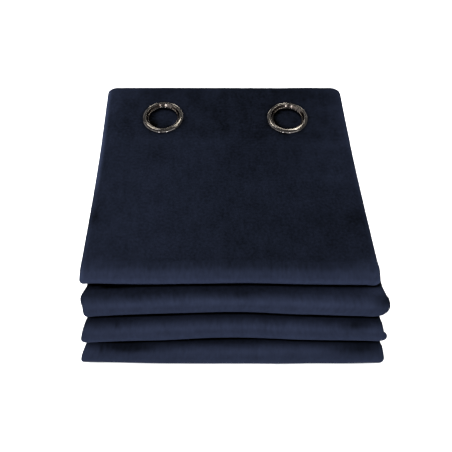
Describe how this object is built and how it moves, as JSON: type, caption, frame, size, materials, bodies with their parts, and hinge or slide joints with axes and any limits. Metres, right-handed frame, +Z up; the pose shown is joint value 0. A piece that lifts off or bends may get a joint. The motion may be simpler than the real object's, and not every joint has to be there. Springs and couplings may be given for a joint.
{
  "type": "folded velvet eyelet curtain",
  "caption": "Velvet blackout curtain with an eyelet heading, doubled across its width and folded back and forth into a soft flat pack that lies on a surface.",
  "frame": {"origin": "middle of the pack's bounding box, on the surface that it lies on", "axes": "+Z up, +X to the right along the front folds, +Y back towards the heading's edge"},
  "size_m": [0.3598, 0.3716, 0.1145],
  "materials": {
    "velvet": "short navy velvet pile, matt with a soft sheen where it turns away",
    "eyelet_metal": "polished dark nickel"
  },
  "bodies": {
    "root": {"velvet_panel": "velvet", "heading_band": "velvet", "eyelet_face_left": "eyelet_metal", "eyelet_back_left": "eyelet_metal", "eyelet_face_right": "eyelet_metal", "eyelet_back_right": "eyelet_metal"}
  },
  "joints": []
}
